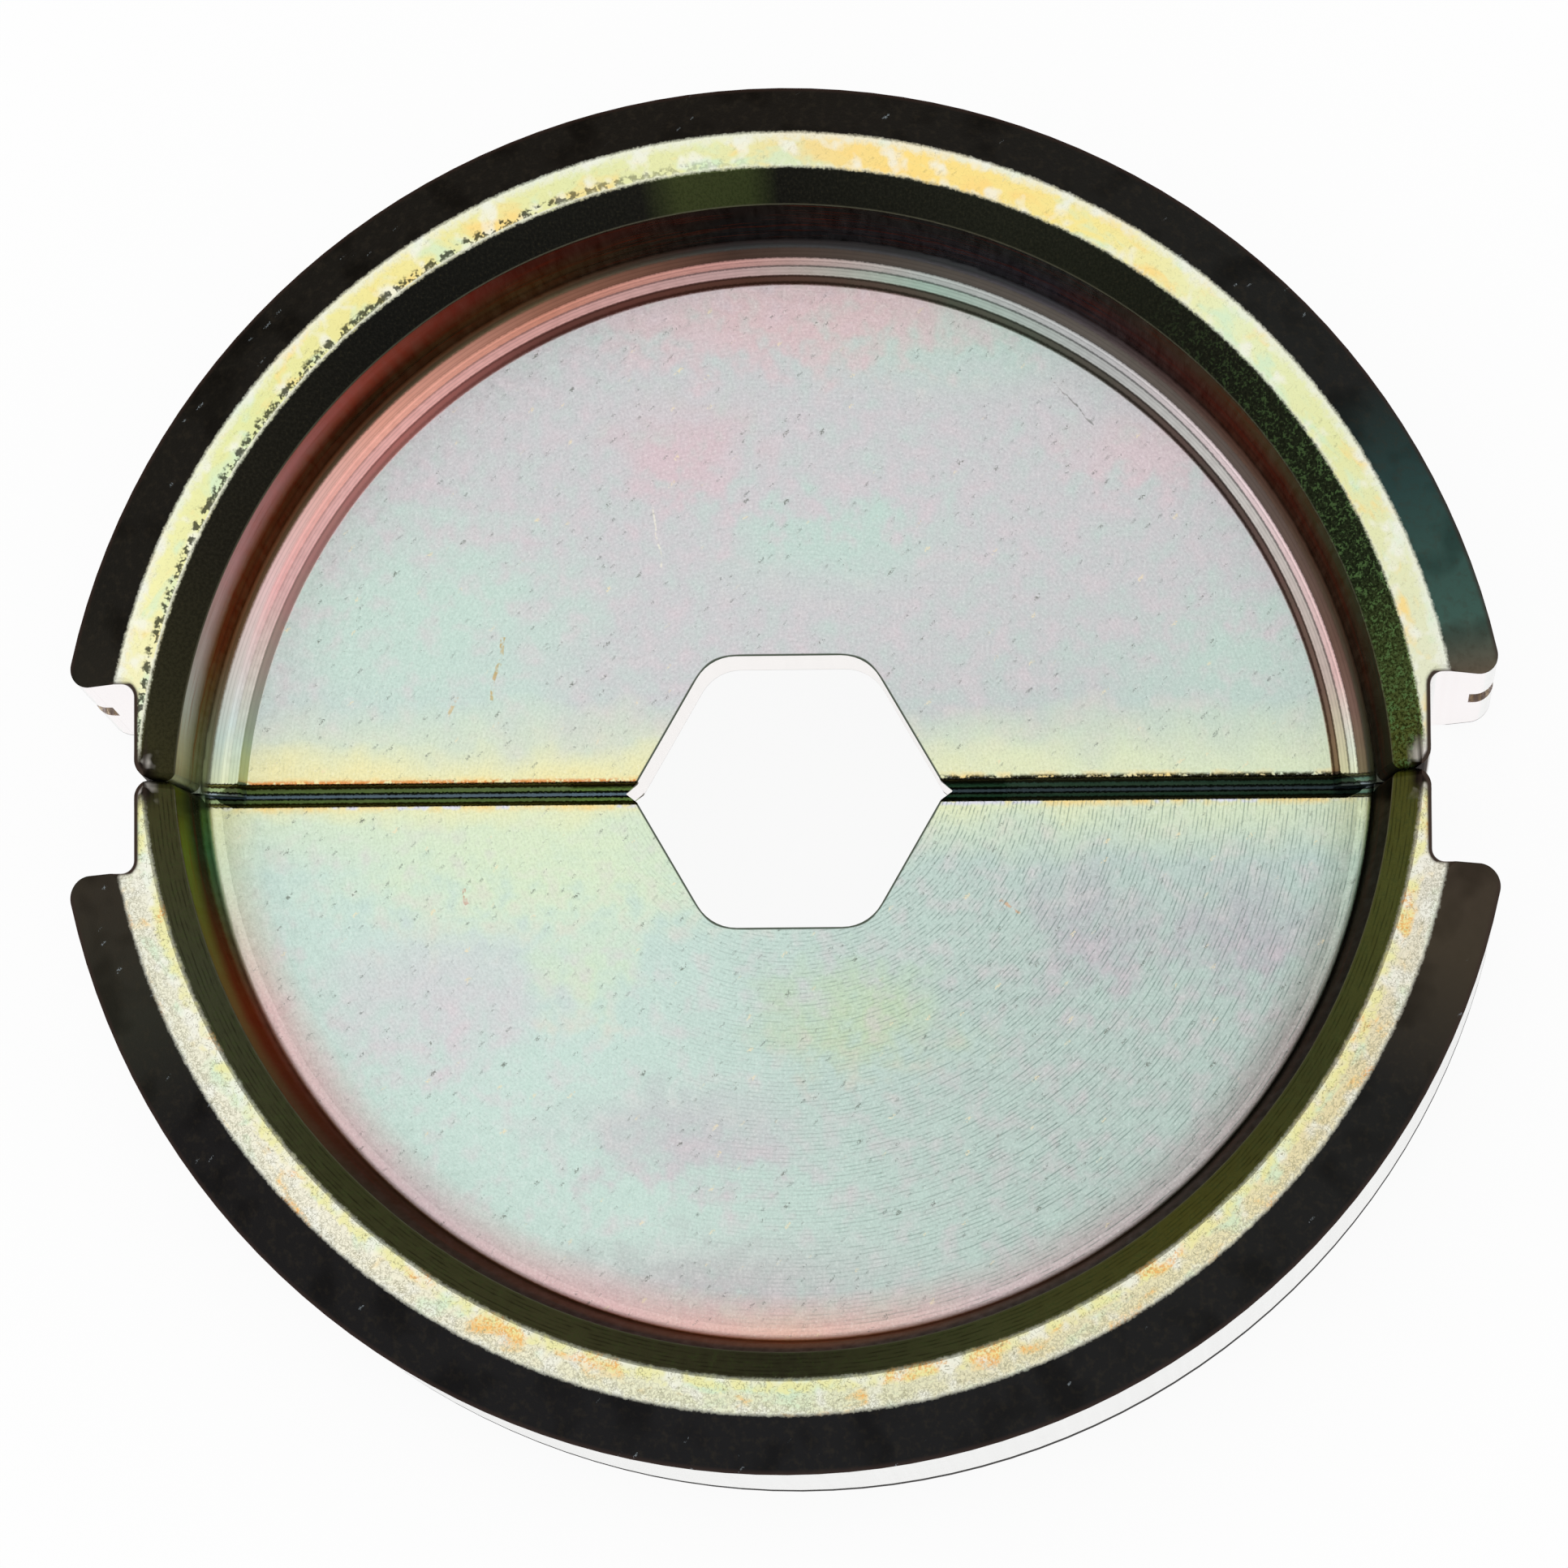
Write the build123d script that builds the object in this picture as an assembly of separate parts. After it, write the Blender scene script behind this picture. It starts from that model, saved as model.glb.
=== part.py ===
from build123d import *
import math
import os

# Crimping die in two equal halves, for a hexagonal crimp.
# Frame: +Z along the crimping axis, the back of the rim on z = 0, the joint between the halves on y = 0,
# +X along the joint. The upper half lies at +Y and the lower half at -Y. Millimetres.

# Rim
rim_thickness = 16.0          # along the crimping axis, back face to front face
outer_radius = 22.5           # the curved seat that lies in the tool's jaw
centre_setback = 1.05         # each half stops this far short of the centre of its own arc
outer_chamfer = 1.68          # bevel between the curved seat and the land, at 45 degrees
land_width = 1.1              # flat ring on the front and back of the rim

# Recess on each side of the web
mouth_chamfer_width = 0.95    # bevel from the land into the recess, across
mouth_chamfer_depth = 1.1     # and along the axis
wall_draft_angle = 7.0        # the recess wall leans in towards the web, in degrees
web_thickness = 4.0           # the crimping web, midway through the rim
foot_fillet = 0.45            # between the wall and the web on the plain side

# Ledge round the web, on one side of each half only
ledge_rise = 0.45             # above the web
ledge_width = 1.0             # from the wall to the inner edge of the ledge's top
ledge_step_run = 0.25         # the step down to the web leans in by this much
ledge_fillet = 0.7            # between the wall and the ledge

# Ends of each half
shoulder_width = 2.25         # how far each shoulder stands out from the flank of the neck
shoulder_height = 2.92        # from the joint to the shoulder that the tool holds
neck_corner_radius = 0.6      # outer corner at the joint
notch_corner_radius = 0.4     # inner corner between the neck and the shoulder
shoulder_corner_radius = 0.65 # outer corner of the shoulder
wall_corner_radius = 0.4      # corner between the recess wall and the joint
wall_corner_lap = 0.02        # how far that rounding reaches past the wall into the recess
edge_break = 0.2              # small bevel round the flat faces of the rim

# Catch slot across each shoulder's outer corner, nearly midway through the rim
slot_width = 2.4
slot_reach = 0.95             # along the shoulder, from the outer corner
slot_climb = 1.1              # up the curved seat, from the shoulder

# Hexagonal crimping profile, with two corners on the joint
hex_across_flats = 8.5
hex_corner_radius = 1.4       # the four corners off the joint
hex_mouth_height = 0.3        # the flanks open out over this height at the joint
hex_mouth_width = 0.19        # and by this much at each side

# Bevelled edges of the web along the joint, shallower where they run out at the rim
joint_bevel = 0.37
joint_bevel_end = 0.19
joint_bevel_runout = 0.85

# How far a cutting shape passes the surface that it cuts
overcut = 1.0

# Heights and radii that follow from the sizes above
web_front = (rim_thickness + web_thickness) / 2
land_outer_radius = outer_radius - outer_chamfer
land_inner_radius = land_outer_radius - land_width
mouth_radius = land_inner_radius - mouth_chamfer_width
mouth_level = rim_thickness - mouth_chamfer_depth
ledge_level = web_front + ledge_rise
ledge_top = ledge_level + ledge_fillet
foot_top = web_front + foot_fillet


def wall_radius(level):
    """Radius of the leaning recess wall at a height on the front side."""
    return mouth_radius - (mouth_level - level) * math.tan(math.radians(wall_draft_angle))


def reach_at(radius, height):
    """Distance along the joint from the middle to an arc of this radius, at a height above the joint."""
    return math.sqrt(radius**2 - (height + centre_setback) ** 2)


shoulder_reach = reach_at(outer_radius, shoulder_height)
neck_half_width = shoulder_reach - shoulder_width
ledge_radius = wall_radius(ledge_level) - ledge_width


def turned(*corners):
    """Full ring turned about the axis of the arc, from corners given as radius and height."""
    outline = Polyline(*[(radius, 0, level) for radius, level in corners], close=True)
    return Pos(0, -centre_setback, 0) * revolve(make_face(outline), Axis.Z)


def turned_with_foot(corners, foot, radius):
    """Like turned, with the corner nearest to the foot of the wall rounded."""
    outline = make_face(Polyline(*[(r, 0, level) for r, level in corners], close=True))
    corner = outline.vertices().sort_by_distance((foot[0], 0, foot[1]))[0]
    return Pos(0, -centre_setback, 0) * revolve(fillet(corner, radius), Axis.Z)


def mirrored_to_back(shape):
    """The same shape on the back of the die."""
    return mirror(shape, Plane.XY.offset(rim_thickness / 2))


def half_outline():
    """Outline of one half, seen along the crimping axis, with its corners rounded."""
    right_shoulder = (shoulder_reach, shoulder_height)
    left_shoulder = (-shoulder_reach, shoulder_height)
    ends = Polyline(
        left_shoulder,
        (-neck_half_width, shoulder_height),
        (-neck_half_width, 0),
        (neck_half_width, 0),
        (neck_half_width, shoulder_height),
        right_shoulder,
    )
    seat = ThreePointArc(right_shoulder, (0, outer_radius - centre_setback), left_shoulder)
    face = make_face(ends + seat)
    at_joint = face.vertices().filter_by_position(Axis.Y, -0.01, 0.01)
    face = fillet(at_joint, neck_corner_radius)
    for side in (-1, 1):
        notch = face.vertices().sort_by_distance((side * neck_half_width, shoulder_height))[0]
        face = fillet(notch, notch_corner_radius)
        shoulder = face.vertices().sort_by_distance((side * shoulder_reach, shoulder_height))[0]
        face = fillet(shoulder, shoulder_corner_radius)
    return face


def half_blank():
    """The half before its recesses are turned: outline, edge breaks and the bevelled seat."""
    blank = extrude(half_outline(), rim_thickness)
    flat_faces = blank.faces().sort_by(Axis.Z)
    blank = chamfer(flat_faces[0].edges() + flat_faces[-1].edges(), edge_break)
    seat_bevel = turned(
        (land_outer_radius, rim_thickness),
        (outer_radius + overcut, rim_thickness - outer_chamfer - overcut),
        (outer_radius + overcut, rim_thickness + overcut),
        (land_outer_radius, rim_thickness + overcut),
    )
    return blank - seat_bevel - mirrored_to_back(seat_bevel)


def recess_mouth():
    """Corners of the recess from its axis, over the land, down to the top of the wall."""
    return [
        (0, rim_thickness + overcut),
        (land_inner_radius, rim_thickness + overcut),
        (land_inner_radius, rim_thickness),
        (mouth_radius, mouth_level),
    ]


def plain_recess():
    """Recess on the front side with a rounded foot straight onto the web."""
    foot = (wall_radius(web_front), web_front)
    return turned_with_foot(recess_mouth() + [foot, (0, web_front)], foot, foot_fillet)


def ledged_recess():
    """Recess on the front side that steps down to the web from a narrow ledge."""
    foot = (wall_radius(ledge_level), ledge_level)
    step = [(ledge_radius, ledge_level), (ledge_radius - ledge_step_run, web_front), (0, web_front)]
    return turned_with_foot(recess_mouth() + [foot] + step, foot, ledge_fillet)


def corner_section(level):
    """What rounding the corner between the wall and the joint removes at one height, at +X."""
    bend = wall_corner_radius
    bend_reach = reach_at(wall_radius(level) + bend - wall_corner_lap, bend)
    in_recess = (bend_reach - bend, bend)
    middle = (bend_reach - bend * math.cos(math.pi / 4), bend - bend * math.sin(math.pi / 4))
    on_joint = (bend_reach, 0)
    open_side = Polyline(on_joint, (bend_reach, -bend), (bend_reach - bend, -bend), in_recess)
    return Pos(0, 0, level) * make_face(ThreePointArc(in_recess, middle, on_joint) + open_side)


def wall_corners(floor_level):
    """Cut that rounds both ends of the recess wall on the front, from a floor up to the front face."""
    mouth = corner_section(mouth_level)
    lean = math.tan(math.radians(wall_draft_angle))
    drop = mouth_level - floor_level
    lower = extrude(mouth, drop / math.cos(math.radians(wall_draft_angle)), dir=(-lean, 0, -1))
    spread = mouth_chamfer_width / mouth_chamfer_depth
    rise = mouth_chamfer_depth + overcut
    upper = extrude(mouth, rise * math.hypot(1, spread), dir=(spread, 0, 1))
    corner = lower + upper
    return corner + mirror(corner, Plane.YZ)


def bevel_section(reach, level, width):
    """Wedge that bevels the web's edge by this width at a surface of this height."""
    low = (0, -overcut, level - width - overcut)
    far = (0, width + overcut, level + overcut)
    top = (0, -overcut, level + overcut)
    return Pos(reach, 0, 0) * make_face(Polyline(low, far, top, close=True))


def joint_bevel_cut(stations):
    """Bevel along the joint through stations of reach, height and width, the same on both sides."""
    left = [bevel_section(-reach, level, width) for reach, level, width in reversed(stations)]
    right = [bevel_section(reach, level, width) for reach, level, width in stations]
    return loft(left + right, ruled=True)


def hexagon_cut():
    """Half of the hexagonal profile through the web, a little wider at the joint."""
    half_height = hex_across_flats / 2
    side = hex_across_flats / math.sqrt(3)
    slope = math.tan(math.radians(60))
    mouth_reach = side - hex_mouth_height / slope
    right = [(side + hex_mouth_width, 0), (mouth_reach, hex_mouth_height), (side / 2, half_height)]
    left = [(-x, y) for x, y in reversed(right)]
    below = [(left[-1][0], -overcut), (right[0][0], -overcut)]
    face = make_face(Polyline(*right, *left, *below, close=True))
    top_corners = face.vertices().filter_by_position(Axis.Y, half_height - 0.01, half_height + 0.01)
    return extrude(fillet(top_corners, hex_corner_radius), rim_thickness)


def catch_slot():
    """Slot across the outer corner of the shoulder at +X."""
    climb_height = shoulder_height + slot_climb
    start = (shoulder_reach - slot_reach, shoulder_height)
    finish = (reach_at(outer_radius, climb_height), climb_height)
    slope = ((finish[0] - start[0]) / 2, (finish[1] - start[1]) / 2)
    corners = [
        (start[0] - slope[0], start[1] - slope[1]),
        (finish[0] + slope[0], finish[1] + slope[1]),
        (shoulder_reach + overcut, finish[1] + slope[1]),
        (shoulder_reach + overcut, start[1] - slope[1]),
    ]
    level = (rim_thickness - slot_width) / 2
    return Pos(0, 0, level) * extrude(make_face(Polyline(*corners, close=True)), slot_width)


def die_half():
    """One half of the die, above the joint, with its ledged side to the front."""
    plain_reach = reach_at(wall_radius(foot_top), 0)
    plain_stations = [
        (plain_reach - joint_bevel_runout, web_front, joint_bevel),
        (plain_reach - foot_fillet, web_front, joint_bevel_end),
        (plain_reach, foot_top, joint_bevel_end),
    ]
    ledge_wall_reach = reach_at(wall_radius(ledge_top), 0)
    ledge_stations = [
        (reach_at(ledge_radius - ledge_step_run, 0), web_front, joint_bevel),
        (reach_at(ledge_radius, 0), ledge_level, joint_bevel),
        (ledge_wall_reach - ledge_fillet, ledge_level, joint_bevel_end),
        (ledge_wall_reach, ledge_top, joint_bevel_end),
    ]
    half = half_blank()
    half -= ledged_recess()
    half -= mirrored_to_back(plain_recess())
    half -= wall_corners(ledge_top)
    half -= mirrored_to_back(wall_corners(foot_top))
    half -= joint_bevel_cut(ledge_stations)
    half -= mirrored_to_back(joint_bevel_cut(plain_stations))
    half -= hexagon_cut()
    slot = catch_slot()
    half -= slot
    half -= mirror(slot, Plane.YZ)
    return half


upper_die = die_half()
lower_die = Pos(0, 0, rim_thickness) * Rot(180, 0, 0) * upper_die
for name, shape in (("upper_die", upper_die), ("lower_die", lower_die)):
    print(name, "solids", len(shape.solids()), "volume", round(shape.volume, 1), "valid", shape.is_valid)

os.makedirs("parts", exist_ok=True)
export_step(upper_die, "parts/upper_die.step")
export_step(lower_die, "parts/lower_die.step")
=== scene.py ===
import math
import bmesh
import bpy
from mathutils import Matrix

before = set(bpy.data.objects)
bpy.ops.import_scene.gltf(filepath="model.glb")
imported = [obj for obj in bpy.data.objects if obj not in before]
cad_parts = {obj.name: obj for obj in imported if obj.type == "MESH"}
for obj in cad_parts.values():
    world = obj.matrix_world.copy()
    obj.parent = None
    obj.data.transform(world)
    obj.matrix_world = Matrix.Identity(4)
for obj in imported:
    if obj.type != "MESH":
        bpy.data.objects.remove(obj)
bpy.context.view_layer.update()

# The die's own sizes, in millimetres, as the part's source gives them
RIM_THICKNESS = 16.0
CENTRE_SETBACK = 1.05
SEAT_RADIUS = 22.5
LAND_INNER_RADIUS = 19.72
MOUTH_RADIUS = 18.77
LEDGE_RADIUS = 17.22
WEB_RADIUS = 16.97
WEB_HALF_THICKNESS = 2.0
SHOULDER_HEIGHT = 2.92
NECK_HALF_WIDTH = 19.897
JOINT_BEVEL = 0.37
HEX_FLAT = 4.25
OUTER_BEVEL = 1.68
EDGE_BREAK = 0.2
SLOT_HALF_WIDTH = 1.2
SLOT_TOP = 4.02

# How much a smooth maximum rounds the hexagon's corners, so that it follows their outline
HEX_ROUNDING = 1.125

# Levels above and below the middle of the rim's thickness
LAND_LEVEL = RIM_THICKNESS / 2
MOUTH_LEVEL = 6.9

# Where the rings of each recess begin, as radii in millimetres, from the web outwards
LEDGED_RINGS = [
    ("step", WEB_RADIUS), ("strip", LEDGE_RADIUS), ("ledge", 17.52), ("heel", 17.76), ("low wall", 18.07),
]
PLAIN_RINGS = [("foot", 18.13), ("low wall", 18.33)]
RING_SOFTNESS = 0.035

# Levels between which the colours of the low wall pass into those of the high wall, and the wall's orange line
HIGH_WALL = (4.5, 6.1)
WALL_LINE = (4.5, 4.62)

# Where the plating of the land ends on the plain side, and how much further out it ends on the ledged side
LAND_INNER_EDGE, LAND_INNER_SHIFT = 19.63, 0.16
LAND_OUTER_EDGE, LAND_OUTER_SHIFT = 20.75, 0.12

# Fine lines left by turning, in millimetres from one to the next
TOOL_MARK_SPACING = 0.125
STEP_LINE_SPACING = 0.11

# Noise of the finish: features to the millimetre, detail and roughness
GRAIN = (11.0, 2.0, 0.75)
MOTTLE = (3.4, 2.0, 0.7)
WANDER = (1.3, 2.0, 0.5)
CLOUD = (0.55, 2.0, 0.5)
STREAK = (1.4, 2.0, 0.65)

# Specks: cells to the millimetre, and their largest size
SMALL_SPECKS = (2.4, 0.07)
LARGE_SPECKS = (0.9, 0.095)

# Height of the fine relief, in metres, and its strength
RELIEF_HEIGHT = 0.00001
RELIEF_STRENGTH = 0.35

# Setting, in metres, degrees and watts
FLOOR_HALF_SIZE = 3.0
FLOOR_GREY = 0.9
FLOOR_ROUGHNESS = 0.9
FLOOR_GLOW_SHARE = 0.92
SKY_STRENGTH = 1.0
LAMP_PLACE, LAMP_SIZE, LAMP_POWER = (-0.25, 0.1, 0.6), 0.5, 0.15
CAMERA_PLACE = (0.01434, -0.03635, 0.37349)
CAMERA_TILT, CAMERA_PAN, CAMERA_ROLL = 5.747, 2.271, -0.55
CAMERA_LENS, CAMERA_SENSOR, CAMERA_NEAREST = 269.57, 36.0, 0.01

# Colours round each ring, by how far round it is: 0 at the right end, 0.5 midway, 1 at the left end. The
# near-black of the mouth and bevel is painted dark reflection, and the heel, foot and walls are partly plating
# colour and partly painted shade of the recess
LEDGED_SHADES = {
    "step": [
        (0.0, (176, 150, 130)), (0.08, (164, 128, 120)), (0.2, (128, 112, 106)), (0.4, (118, 122, 110)),
        (0.52, (112, 88, 76)), (0.64, (142, 92, 84)), (0.75, (228, 150, 142)), (0.86, (226, 168, 168)),
        (0.95, (192, 206, 190)), (1.0, (214, 226, 180)),
    ],
    "strip": [
        (0.0, (221, 226, 169)), (0.08, (201, 183, 174)), (0.2, (206, 203, 199)), (0.31, (188, 190, 188)),
        (0.42, (169, 194, 179)), (0.53, (203, 169, 167)), (0.64, (221, 169, 163)), (0.75, (240, 185, 179)),
        (0.86, (224, 183, 181)), (0.95, (204, 220, 206)), (1.0, (233, 240, 169)),
    ],
    "ledge": [
        (0.0, (239, 239, 174)), (0.04, (220, 227, 209)), (0.08, (227, 190, 186)), (0.2, (232, 211, 213)),
        (0.31, (197, 197, 197)), (0.42, (181, 188, 183)), (0.53, (204, 153, 146)), (0.64, (213, 146, 125)),
        (0.75, (250, 183, 165)), (0.86, (244, 190, 188)), (0.94, (214, 229, 224)), (1.0, (250, 250, 183)),
    ],
    # Heel and walls: partly plating colour, partly painted shade of the recess
    "heel": [
        (0.0, (120, 120, 84)), (0.06, (120, 94, 84)), (0.1, (104, 80, 70)), (0.2, (96, 84, 78)),
        (0.31, (98, 92, 86)), (0.42, (84, 78, 72)), (0.53, (72, 54, 46)), (0.64, (146, 100, 82)),
        (0.75, (222, 160, 142)), (0.86, (230, 196, 194)), (0.95, (192, 208, 198)), (1.0, (222, 222, 160)),
    ],
    "low wall": [
        (0.0, (76, 84, 76)), (0.12, (112, 95, 81)), (0.22, (126, 98, 86)), (0.35, (101, 98, 105)),
        (0.53, (78, 82, 82)), (0.64, (113, 101, 76)), (0.75, (101, 88, 69)), (0.9, (134, 104, 78)),
        (1.0, (146, 162, 145)),
    ],
    "high wall": [
        (0.0, (76, 78, 63)), (0.12, (107, 113, 100)), (0.22, (123, 113, 100)), (0.35, (92, 94, 94)),
        (0.53, (84, 78, 75)), (0.64, (115, 85, 74)), (0.75, (186, 125, 118)), (0.86, (215, 176, 179)),
        (0.94, (204, 204, 200)), (1.0, (171, 171, 142)),
    ],
    # Mouth: its near-black is painted dark reflection, over flecks of plating colour
    "mouth": [
        (0.0, (118, 118, 53)), (0.06, (98, 112, 66)), (0.12, (56, 66, 46)), (0.25, (42, 45, 36)),
        (0.38, (46, 48, 39)), (0.5, (36, 36, 32)), (0.515, (67, 76, 45)), (0.55, (73, 81, 48)),
        (0.57, (38, 38, 34)), (0.72, (35, 35, 32)), (0.86, (48, 46, 38)), (0.94, (64, 62, 45)),
        (1.0, (81, 78, 50)),
    ],
    "land": [
        (0.0, (232, 228, 212)), (0.06, (222, 224, 196)), (0.18, (224, 226, 168)), (0.26, (226, 232, 188)),
        (0.34, (240, 226, 150)), (0.44, (246, 216, 132)), (0.49, (236, 214, 150)), (0.52, (226, 226, 172)),
        (0.6, (222, 226, 170)), (0.7, (236, 224, 150)), (0.8, (222, 226, 164)), (0.9, (236, 232, 172)),
        (1.0, (236, 232, 206)),
    ],
    # Outer bevel: its black is painted dark reflection
    "bevel": [
        (0.0, (84, 73, 62)), (0.055, (101, 87, 73)), (0.085, (66, 92, 84)), (0.15, (50, 70, 68)),
        (0.2, (42, 43, 42)), (0.5, (43, 41, 38)), (0.9, (42, 41, 38)), (0.95, (50, 48, 43)),
        (1.0, (70, 62, 56)),
    ],
}
PLAIN_SHADES = {
    "fringe": [
        (0.0, (222, 220, 160)), (0.06, (176, 196, 178)), (0.16, (160, 146, 144)), (0.28, (184, 172, 172)),
        (0.39, (212, 186, 188)), (0.5, (238, 188, 170)), (0.6, (232, 190, 188)), (0.72, (212, 184, 188)),
        (0.86, (232, 192, 190)), (0.94, (216, 228, 196)), (1.0, (232, 228, 164)),
    ],
    # Foot and walls: partly plating colour, partly painted shade of the recess
    "foot": [
        (0.0, (48, 50, 42)), (0.16, (52, 51, 45)), (0.28, (72, 67, 57)), (0.39, (114, 91, 78)),
        (0.5, (137, 106, 81)), (0.6, (101, 80, 64)), (0.74, (102, 85, 70)), (0.86, (144, 111, 98)),
        (0.95, (108, 140, 117)), (1.0, (125, 143, 98)),
    ],
    "low wall": [
        (0.0, (63, 64, 51)), (0.16, (76, 68, 57)), (0.28, (85, 77, 68)), (0.39, (101, 91, 76)),
        (0.5, (125, 104, 87)), (0.6, (109, 86, 71)), (0.74, (90, 68, 49)), (0.86, (132, 87, 51)),
        (0.95, (87, 100, 82)), (1.0, (81, 88, 63)),
    ],
    "high wall": [
        (0.0, (50, 48, 36)), (0.16, (38, 37, 31)), (0.28, (50, 49, 36)), (0.39, (42, 40, 32)),
        (0.5, (52, 46, 35)), (0.6, (48, 40, 32)), (0.74, (88, 80, 65)), (0.86, (140, 122, 95)),
        (0.95, (130, 145, 92)), (1.0, (115, 122, 70)),
    ],
    # Mouth: its near-black is painted dark reflection, over flecks of plating colour
    "mouth": [
        (0.0, (102, 102, 50)), (0.08, (102, 108, 59)), (0.18, (88, 93, 57)), (0.28, (102, 102, 53)),
        (0.4, (90, 93, 62)), (0.5, (71, 70, 53)), (0.62, (87, 85, 59)), (0.75, (81, 82, 54)),
        (0.88, (84, 87, 65)), (1.0, (87, 84, 50)),
    ],
    "land": [
        (0.0, (236, 232, 218)), (0.08, (230, 226, 210)), (0.18, (226, 212, 168)), (0.28, (230, 222, 182)),
        (0.4, (224, 218, 184)), (0.5, (222, 226, 194)), (0.62, (232, 228, 200)), (0.75, (238, 234, 214)),
        (0.88, (230, 228, 206)), (1.0, (232, 230, 216)),
    ],
    # Outer bevel: its black is painted dark reflection
    "bevel": [
        (0.0, (70, 60, 53)), (0.1, (67, 60, 50)), (0.17, (37, 37, 36)), (0.5, (35, 35, 36)),
        (0.82, (36, 35, 35)), (0.87, (50, 50, 44)), (0.95, (60, 55, 48)), (1.0, (67, 55, 48)),
    ],
}

# Thin coloured lines on the web's bevelled edges, from the joint out to 0.4 mm; the dark ones are painted shade
# in the joint between the halves
JOINT_LINES_WIDTH = 0.4
JOINT_LINES_LEFT = [
    (0.0, (152, 166, 174)), (0.1, (150, 164, 172)), (0.15, (40, 42, 34)), (0.24, (40, 42, 34)),
    (0.3, (158, 176, 128)), (0.5, (150, 170, 122)), (0.57, (60, 56, 30)), (0.7, (52, 48, 26)),
    (0.76, (120, 118, 60)), (0.82, (30, 26, 16)), (1.0, (26, 22, 14)),
]
JOINT_LINES_RIGHT = [
    (0.0, (120, 132, 136)), (0.1, (112, 122, 126)), (0.15, (40, 46, 42)), (0.24, (44, 48, 40)),
    (0.3, (104, 128, 108)), (0.5, (80, 112, 96)), (0.57, (46, 50, 38)), (0.7, (44, 46, 32)),
    (0.76, (90, 92, 60)), (0.82, (32, 28, 20)), (1.0, (28, 24, 16)),
]

# Thin dark lines at the edges of the ledged side's rings, between these radii; a lighter stop darkens more
EDGE_LINES_FROM, EDGE_LINES_TO = 16.9, 17.9
EDGE_LINES = [
    (0.0, (0, 0, 0)), (0.08, (0, 0, 0)), (0.11, (224, 224, 224)), (0.15, (224, 224, 224)),
    (0.18, (0, 0, 0)), (0.26, (0, 0, 0)), (0.29, (206, 206, 206)), (0.31, (206, 206, 206)),
    (0.34, (0, 0, 0)), (0.56, (0, 0, 0)), (0.59, (220, 220, 220)), (0.62, (220, 220, 220)),
    (0.65, (0, 0, 0)), (0.73, (0, 0, 0)), (0.76, (180, 180, 180)), (0.79, (0, 0, 0)),
    (0.85, (0, 0, 0)), (0.87, (196, 196, 196)), (0.89, (196, 196, 196)), (0.92, (0, 0, 0)), (1.0, (0, 0, 0)),
]

# Soft patches of plating colour on the web: middle, half width, half height and colour; the ledged side is above
PATCHES = [
    (-11.6, 4.6, 5.5, 4.0, (196, 222, 209)), (1.6, 7.7, 3.6, 1.3, (192, 216, 206)),
    (5.5, 14.2, 4.5, 1.6, (188, 216, 204)), (14.2, 3.2, 4.2, 2.4, (196, 220, 208)),
    (0.6, 15.0, 6.5, 1.6, (220, 190, 192)), (-3.2, 10.6, 2.2, 1.5, (216, 192, 198)),
    (10.9, 10.6, 1.9, 1.2, (216, 198, 202)), (10.4, -8.0, 13.0, 12.0, (182, 197, 191)),
    (-10.8, -6.6, 3.4, 2.4, (210, 208, 211)), (-3.2, -10.8, 3.6, 1.5, (198, 195, 199)),
    (-2.4, -15.6, 6.0, 1.5, (194, 189, 191)), (-6.4, -5.8, 1.6, 1.4, (212, 228, 200)),
    (-7.5, -2.4, 6.5, 2.0, (218, 232, 198)), (2.0, -7.1, 2.8, 1.6, (194, 212, 178)),
    (9.5, -4.4, 1.9, 2.1, (188, 186, 191)), (14.2, -4.6, 2.0, 1.8, (186, 184, 190)),
]
PATCH_STRENGTH = 0.8

# Long scratches on the web: start, finish, half width and colour
SCRATCHES = [
    ((-4.2, 9.1), (-3.9, 7.0), 0.03, (228, 226, 214)), ((-8.9, 4.9), (-9.3, 2.9), 0.06, (196, 176, 128)),
    ((-10.3, 3.1), (-10.6, 2.5), 0.05, (206, 190, 150)), ((8.4, 12.8), (9.6, 11.4), 0.025, (150, 152, 150)),
    ((-10.2, -3.0), (-10.0, -3.4), 0.06, (204, 178, 150)), ((6.6, -3.4), (7.2, -3.9), 0.05, (206, 178, 146)),
]

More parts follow.
